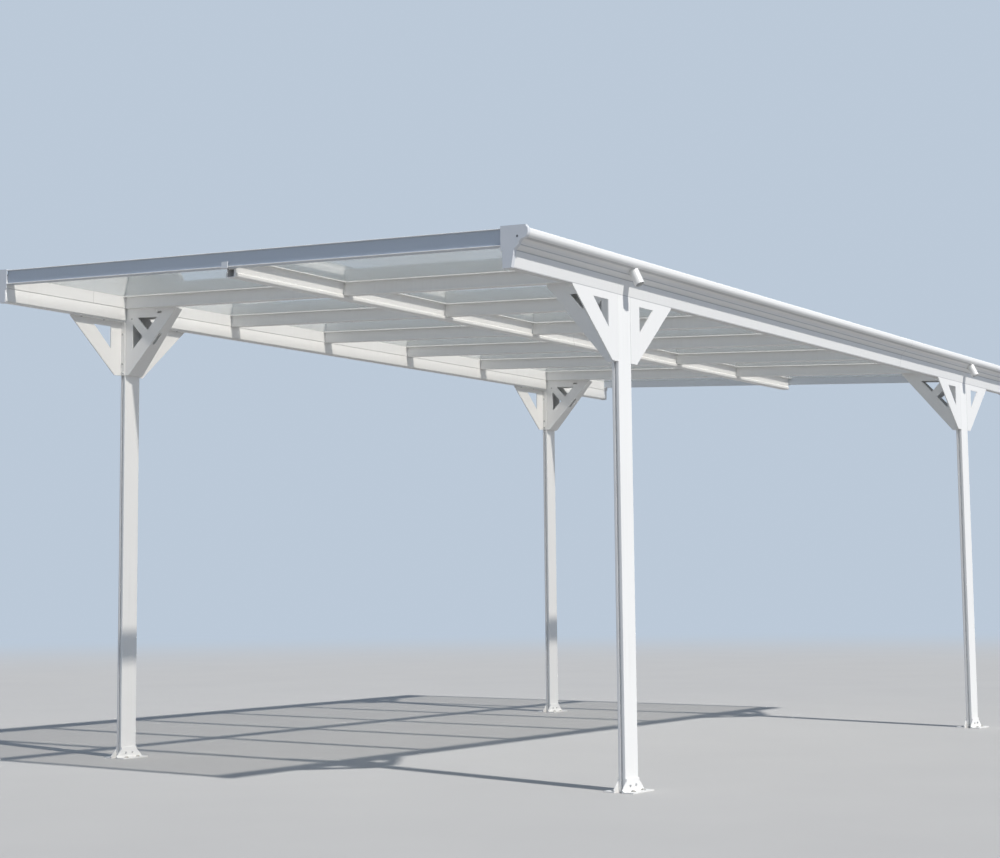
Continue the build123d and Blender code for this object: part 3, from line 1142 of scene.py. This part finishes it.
@dataclass
class RoofFrame(SubAssembly):
    """The rafters, the middle beam, the end profiles and the beam's clips."""

    flange_half: float = 28 * MM
    flange_bead: float = 2.4 * MM
    beam_half: float = 27 * MM
    web_half: float = 20 * MM
    wing_half: float = 42 * MM
    wing_thickness: float = 2.5 * MM
    wing_round: float = 0.625 * MM
    collar_half: float = 16.5 * MM
    collar_drop: float = 52 * MM
    collar_lap: float = 1.0 * MM
    collar_round: float = 0.5 * MM
    nose_bead: float = 1.9 * MM
    nose_proud: float = 0.6 * MM
    nose_up: float = 25 * MM
    nose_down: float = 38 * MM
    lip_height: float = 4 * MM
    tongue_under: float = 41 * MM
    clip_screw_in: float = 20 * MM
    clip_screw: Screw = Screw("clip_screw", 9 * MM, 2.4 * MM)
    clip_turn: float = 0.3

    def build(self) -> None:
        """Dress the roof's bars and clips, roll their edges and screw the clips on."""
        dress(self.look.frame, "rafter_", "glazing_caps")
        dress(self.look.end_profile, "end_profile_")
        dress(self.look.beam, "middle_beam")
        dress(self.look.clip, "beam_clip_")
        self.build_flange_beads()
        self.build_nose_beads()
        self.build_beam_wings()
        self.build_collars()
        template = self.clip_screw.template()
        for node, end in (("beam_clip_front", -1), ("beam_clip_back", 1)):
            low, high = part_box(node)
            y = end_y(node, end) - end * self.clip_screw_in
            place = self.plane.point((low.x + high.x) / 2, y, -self.tongue_under)
            seat = Screw.seat(place, -self.plane.normal, self.clip_turn)
            set_screws(template, [seat], node.replace("clip", "clip_screw"), self.look.recess_shade_steel)

    @property
    def beam_middle(self) -> float:
        """X of the middle beam's centre line on the roof plane."""
        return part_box("middle_beam")[1].x - self.beam_half * math.cos(self.plane.angle)

    def build_flange_beads(self) -> None:
        """Roll the edges of the rafters' top flanges, which show as a thin line under the sheets."""
        middle = self.beam_middle
        for node in nodes_of("rafter_"):
            low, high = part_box(node)
            form = bmesh.new()
            for first, last in ((low.x, middle - self.beam_half), (middle + self.beam_half, high.x)):
                for side in (-1, 1):
                    start = (first, middle_y(node) + side * self.flange_half, -self.flange_bead)
                    bead(form, start, (last - first, 0, 0), self.flange_bead)
            name = node.replace("rafter", "flange_beads")
            finish_piece(form, name, self.look.frame, SMOOTH_BEAD, self.plane.lay())

    def build_nose_beads(self) -> None:
        """Round the two lips of each end profile."""
        for node, end in (("end_profile_front", -1), ("end_profile_back", 1)):
            low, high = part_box(node)
            form = bmesh.new()
            for above in (self.nose_up - self.lip_height / 2, self.lip_height / 2 - self.nose_down):
                start = (low.x, end_y(node, end) + end * self.nose_proud, above)
                bead(form, start, (high.x - low.x, 0, 0), self.nose_bead)
            finish_piece(form, node + "_beads", self.look.frame, SMOOTH_BEAD, self.plane.lay())

    def build_beam_wings(self) -> None:
        """Widen the middle beam's top flange between the rafters, under the sheets."""
        middle = self.beam_middle
        crossings = [middle_y(node) for node in nodes_of("rafter_")]
        form = bmesh.new()
        for start, stop in free_stretches("middle_beam", crossings, self.flange_half):
            for side in (-1, 1):
                left, right = sorted((middle + side * self.beam_half, middle + side * self.wing_half))
                block(form, (left, start, -self.wing_thickness), (right, stop, 0))
        soften(form, self.wing_round)
        finish_piece(form, "beam_wings", self.look.frame, lay=self.plane.lay())

    def build_collars(self) -> None:
        """Close the gap between each rafter's web and the beam's web with a collar."""
        form = bmesh.new()
        for node in nodes_of("rafter_"):
            middle = middle_y(node)
            front, back = middle - self.collar_half, middle + self.collar_half
            for side in (-1, 1):
                left, right = sorted((side * self.web_half, side * (self.beam_half + self.collar_lap)))
                block(form, (left, front, -self.collar_drop), (right, back, -self.wing_thickness))
        soften(form, self.collar_round)
        square = self.plane.square(self.beam_middle)
        finish_piece(form, "rafter_collars", self.look.frame, lay=square)


@dataclass
class RoofSheets(SubAssembly):
    """The twin-wall sheets, with the tapes, gaskets and screws that hold and seal them."""

    flute: float = 10.5 * MM
    skin: float = 0.45 * MM
    tape_thickness: float = 0.5 * MM
    tape_width: float = 16 * MM
    bead_radius: float = 1.3 * MM
    bead_squeeze: float = 0.6
    strip_screws: int = 7
    strip_end: float = 60 * MM
    strip_screw: Screw = Screw("strip_screw", 11 * MM, 3 * MM, 16 * MM, 1.2 * MM, Drive.STAR, 12)
    strip_turn: float = 0.8
    strip_rise: float = 7 * MM
    strip_width: float = 50 * MM

    @property
    def thickness(self) -> float:
        """Thickness of a sheet, from its solid's box."""
        low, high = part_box(MIDDLE_PANEL)
        return (high.z - low.z - self.plane.slope * (high.x - low.x)) * math.cos(self.plane.angle)

    def build(self) -> None:
        """Make the sheets and everything that holds them down."""
        for node in nodes_of("roof_panel_"):
            self.build_sheet(node)
        self.build_tapes()
        self.build_gaskets()
        self.build_strip_screws()

    def build_sheet(self, node: str) -> None:
        """Extrude one fluted sheet in the place of its plain solid.

        Args:
            node: The solid that the sheet stands for.
        """
        low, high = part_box(node)
        width = high.y - low.y
        flutes = round(width / self.flute)
        upright = Matrix((
            (0, 0, 1, low.x),
            (1, 0, 0, middle_y(node)),
            (0, 1, 0, self.thickness / 2),
            (0, 0, 0, 1),
        ))
        section = upright @ scale_of(width, self.thickness, 1)
        form = bmesh.new()
        bmesh.ops.create_grid(form, x_segments=flutes, y_segments=1, size=0.5, matrix=section)
        cells = form.faces[:]
        bmesh.ops.inset_individual(form, faces=cells, thickness=self.skin, use_even_offset=True)
        bmesh.ops.delete(form, geom=cells, context="FACES")
        push_faces(form, form.faces[:], (high.x - low.x, 0, 0))
        name = node.replace("roof_panel", "twin_wall_sheet")
        piece = finish_piece(form, name, self.look.sheet, lay=self.plane.lay())
        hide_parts(node)

    def build_tapes(self) -> None:
        """Close the flutes at both ends of every sheet with a folded foil tape."""
        under, over = self.thickness, self.thickness + self.tape_thickness
        form = bmesh.new()
        for node in nodes_of("roof_panel_"):
            low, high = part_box(node)
            for edge, inwards in ((low.x, 1), (high.x, -1)):
                outer = edge - inwards * self.tape_thickness
                inner = edge + inwards * self.tape_width
                fold = ((outer, 0), (edge, 0), (edge, under), (inner, under), (inner, over), (outer, over))
                corners = [form.verts.new((x, low.y, z)) for x, z in fold]
                push_faces(form, [form.faces.new(corners)], (0, high.y - low.y, 0))
        finish_piece(form, "sheet_end_tapes", self.look.tape, lay=self.plane.lay())

    def build_gaskets(self) -> None:
        """Lay a rubber bead along both edges of every glazing strip."""
        low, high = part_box(MIDDLE_PANEL)
        form = bmesh.new()
        for node in nodes_of("rafter_"):
            for side in (-1, 1):
                y = middle_y(node) + side * (self.strip_width / 2 - self.bead_radius)
                start = (low.x, y, self.thickness + self.bead_radius * self.bead_squeeze)
                bead(form, start, (high.x - low.x, 0, 0), self.bead_radius)
        finish_piece(form, "strip_gaskets", self.look.rubber, SMOOTH_BEAD, self.plane.lay())

    def build_strip_screws(self) -> None:
        """Screw every glazing strip down along its crest."""
        template = self.strip_screw.template()
        low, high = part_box("glazing_caps")
        reach = high.x - low.x - 2 * self.strip_end
        for node in nodes_of("rafter_"):
            seats = []
            for number in range(self.strip_screws):
                x = low.x + self.strip_end + reach * number / (self.strip_screws - 1)
                place = self.plane.point(x, middle_y(node), self.thickness + self.strip_rise)
                seats.append(Screw.seat(place, self.plane.normal, self.strip_turn * number))
            set_screws(template, seats, node.replace("rafter", "strip_screws"), self.look.steel)


@dataclass
class Braces(SubAssembly):
    """The brace plates along the rails and the channel brackets under the rafters."""

    flange: float = 4 * MM
    flange_middle: float = 16 * MM
    screw: Screw = Screw("brace_screw", 11 * MM, 3.2 * MM)
    post_screw_drops: tuple[float, ...] = (60 * MM, 201 * MM, 242 * MM)
    post_turn: float = 0.6
    rail_screw_runs: tuple[float, ...] = (120 * MM, 255 * MM)
    rail_turn: float = 0.4
    small_screw: Screw = Screw("bracket_screw", 8.5 * MM, 2.6 * MM)
    bracket_screw_away: float = 38 * MM
    bracket_screw_drop: float = 50 * MM
    bracket_turn: float = 0.342
    bracket_run: float = 310 * MM
    bracket_end_half: float = 20 * MM
    rafter_depth: float = 56 * MM
    slot_away: float = 209 * MM
    slot_drop: float = 21 * MM
    slot_length: float = 29 * MM
    slot_height: float = 10 * MM
    slot_sides: int = 24

    def build(self) -> None:
        """Dress the brace plates, cut the brackets' slots and set the screws of both."""
        dress(self.look.brace, "rail_brace_")
        screw = self.screw.template()
        small = self.small_screw.template()
        steel = self.look.steel
        for corner in Corner.all():
            plates, brackets = self.plate_seats(corner), self.bracket_seats(corner)
            set_screws(screw, plates, "rail_brace_screws_" + corner.name, steel)
            set_screws(small, brackets, "cross_brace_screws_" + corner.name, steel)
            self.build_slotted_bracket(corner)

    def build_slotted_bracket(self, corner: Corner) -> None:
        """Cut an oblong hole through one side plate of a bracket, in a copy that stands for its solid.

        Args:
            corner: The post.
        """
        node = "cross_brace_" + corner.name
        form = bmesh.new()
        form.from_mesh(frame["nodes"][node].data)
        bmesh.ops.remove_doubles(form, verts=form.verts[:], dist=SAME_PLACE)
        piece = finish_piece(form, "slotted_bracket_" + corner.name, self.look.bracket)
        cutter = self.slot_cutter(corner)
        cut = piece.modifiers.new("slot", "BOOLEAN")
        cut.object = cutter
        cut.solver = "EXACT"
        shaped = bpy.data.meshes.new_from_object(piece.evaluated_get(bpy.context.evaluated_depsgraph_get()))
        piece.modifiers.clear()
        piece.data = shaped
        bpy.data.objects.remove(cutter)
        log.info("%s: %d faces with its slot", piece.name, len(shaped.polygons))
        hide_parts(node)

    def slot_cutter(self, corner: Corner) -> bpy.types.Object:
        """The oblong bar that cuts a bracket's slot: one part serves every corner, so its side alternates.

        Args:
            corner: The post.

        Returns:
            A loose object, to be deleted after the cut.
        """
        x = corner.inner_x - corner.side * self.slot_away
        z = self.plane.point(x, 0, -self.rafter_depth).z - self.slot_drop
        place = Matrix.Translation((x, corner.middle.y, z)) @ Matrix.Rotation(math.pi / 2, 4, "X")
        form = bmesh.new()
        face = disc(form, self.slot_height / 2, self.slot_sides, place)
        stretch = (self.slot_length - self.slot_height) / 2
        for vert in face.verts:
            vert.co.x += math.copysign(stretch, vert.co.x - x)
        push_faces(form, [face], (0, corner.side * 2 * corner.half_width, 0))
        bmesh.ops.recalc_face_normals(form, faces=form.faces[:])
        return add_object("slot_cutter", mesh_of(form, "slot_cutter"))

    def plate_seats(self, corner: Corner) -> list[Matrix]:
        """Where screws hold the brace plates to the post and to the rail.

        Args:
            corner: The post.

        Returns:
            One place for each screw.
        """
        seats = []
        x = corner.outer_x - corner.side * self.flange_middle
        top = corner.high.z
        for along in (-1, 1):
            face = corner.middle.y + along * corner.half_width
            for number, drop in enumerate(self.post_screw_drops):
                place = (x, face + along * self.flange, top - drop)
                seats.append(Screw.seat(place, (0, along, 0), self.post_turn * number))
            for number, run in enumerate(self.rail_screw_runs):
                place = (x, face + along * run, top - self.flange)
                seats.append(Screw.seat(place, (0, 0, -1), self.rail_turn * number))
        return seats

    def bracket_seats(self, corner: Corner) -> list[Matrix]:
        """Where screws go through the bracket's two tapering side plates.

        Args:
            corner: The post.

        Returns:
            One place for each screw.
        """
        away = self.bracket_screw_away
        taper = (corner.half_width - self.bracket_end_half) / self.bracket_run
        x = corner.inner_x - corner.side * away
        z = self.plane.point(x, 0, -self.rafter_depth).z - self.bracket_screw_drop
        seats = []
        for along in (-1, 1):
            y = corner.middle.y + along * (corner.half_width - taper * away)
            seats.append(Screw.seat((x, y, z), (-corner.side * taper, along, 0), self.bracket_turn))
        return seats


@dataclass
class Studio:
    """The plain floor, the lights and the camera."""

    floor_radius: float = 60.0
    floor_sides: int = 64
    floor_colour: Colour = (0.52, 0.515, 0.505)
    floor_shade: Colour = (0.48, 0.475, 0.47)
    floor_bounce: Colour = (0.335, 0.323, 0.307)
    floor_roughness: float = 0.9
    floor_gloss: float = 0.15
    cloud_scale: float = 1.4
    cloud_detail: float = 5.0
    backdrop: Colour = (0.50, 0.585, 0.69)
    sky_fill: Colour = (0.27, 0.34, 0.45)
    horizon_fill: float = 1.32
    zenith_fill: float = 0.5
    fade_from: float = 7.0
    fade_to: float = 26.0
    sun_from: tuple[float, float, float] = (0.655, -0.124, 0.745)
    sun_strength: float = 3.58
    sun_angle: float = math.radians(1.3)
    sun_colour: Colour = (1.0, 0.967, 0.92)
    see_through: int = 40
    camera_place: tuple[float, float, float] = (4.7654, -7.2785, 0.7269)
    camera_yaw: float = math.radians(35.668)
    camera_pitch: float = math.radians(5.551)
    camera_roll: float = math.radians(-0.567)
    focal_pixels: float = 1720.04
    frame_width: int = 1000
    sensor: float = 36.0

    def build(self) -> None:
        """Set up the floor, the lights and the camera."""
        self.build_floor()
        self.build_sun()
        self.build_sky()
        self.build_camera()
        bpy.context.scene.view_settings.view_transform = "Standard"
        bpy.context.scene.cycles.transparent_max_bounces = self.see_through

    @staticmethod
    def seen_directly(nodes: Nodes) -> Socket:
        """A mask of the rays that look at the backdrop.

        Args:
            nodes: The tree.

        Returns:
            1 for rays from the camera, also after a reflection or through a sheet, and 0 for light.
        """
        path = nodes.node("ShaderNodeLightPath").outputs
        mirrored = nodes.maths("MAXIMUM", path["Is Camera Ray"], path["Is Glossy Ray"])
        return nodes.maths("MAXIMUM", mirrored, path["Is Transmission Ray"])

    def build_floor(self) -> None:
        """Lay a large pale floor that fades into the backdrop far from the carport."""
        form = bmesh.new()
        disc(form, self.floor_radius, self.floor_sides, Matrix())
        mesh = mesh_of(form, "studio_floor")
        sheet = MaterialSheet("studio_floor")
        clouds = sheet.noise(sheet.place, self.cloud_scale, self.cloud_detail)
        pale = sheet.blend(self.floor_colour, self.floor_shade, clouds)
        seen = self.seen_directly(sheet)
        sheet.drive({
            "Base Color": sheet.blend(self.floor_bounce, pale, seen),
            "Roughness": self.floor_roughness,
            "Specular IOR Level": self.floor_gloss,
        })
        reach = sheet.node("ShaderNodeVectorMath", {0: sheet.place}, operation="LENGTH").outputs["Value"]
        fade = sheet.remap(reach, self.fade_from, self.fade_to, kind="SMOOTHERSTEP")
        glow = sheet.node("ShaderNodeEmission", {"Color": self.backdrop}).outputs[0]
        share = sheet.maths("MULTIPLY", fade, seen)
        sheet.fill(sheet.surface, sheet.mix(share, sheet.shader.outputs[0], glow))
        mesh.materials.append(sheet.material)
        add_object("studio_floor", mesh)

    def build_sun(self) -> None:
        """Hang the key light, a small far lamp that throws the shadows."""
        key = bpy.data.lights.new("key_light", "SUN")
        key.energy = self.sun_strength
        key.angle = self.sun_angle
        key.color = self.sun_colour
        lamp = add_object("key_light", key)
        lamp.rotation_euler = Vector(self.sun_from).to_track_quat("Z", "Y").to_euler()

    def build_sky(self) -> None:
        """Fill from all round, more from the horizon than from above, and show a plain backdrop."""
        world = bpy.data.worlds.new("studio")
        bpy.context.scene.world = world
        world.use_nodes = True
        world.node_tree.nodes.clear()
        sky = Nodes(world.node_tree)
        way = sky.node("ShaderNodeTexCoord").outputs["Generated"]
        dome = sky.remap(sky.part(way, "Z"), 0.0, 1.0, self.horizon_fill, self.zenith_fill)
        fill = sky.node("ShaderNodeBackground", {"Color": self.sky_fill, "Strength": dome}).outputs[0]
        backdrop = sky.node("ShaderNodeBackground", {"Color": self.backdrop}).outputs[0]
        sky.node("ShaderNodeOutputWorld", {"Surface": sky.mix(self.seen_directly(sky), fill, backdrop)})

    def build_camera(self) -> None:
        """Stand the camera where the photograph was taken from."""
        yaw, pitch, roll = self.camera_yaw, self.camera_pitch, self.camera_roll
        ahead = Vector((-math.sin(yaw) * math.cos(pitch), math.cos(yaw) * math.cos(pitch), math.sin(pitch)))
        level = Vector((math.cos(yaw), math.sin(yaw), 0))
        up = level.cross(ahead)
        right = math.cos(roll) * level + math.sin(roll) * up
        up = math.cos(roll) * up - math.sin(roll) * level
        turn = Matrix((right, up, -ahead)).transposed().to_4x4()
        data = bpy.data.cameras.new("camera")
        data.sensor_fit = "HORIZONTAL"
        data.sensor_width = self.sensor
        data.lens = self.focal_pixels * self.sensor / self.frame_width
        data.clip_end = 4 * self.floor_radius
        camera = add_object("camera", data)
        camera.matrix_world = Matrix.Translation(self.camera_place) @ turn
        bpy.context.scene.camera = camera


def main() -> None:
    """Set up the studio, dress the carport's solids and add its small pieces."""
    Studio().build()
    look = Materials.make()
    plane = RoofPlane.read(MIDDLE_PANEL)
    log.info("fall %.2f degrees", math.degrees(plane.angle))
    for part in (Posts, SideRails, RoofFrame, RoofSheets, Braces):
        part(look, plane).build()


if __name__ == "__main__":
    main()
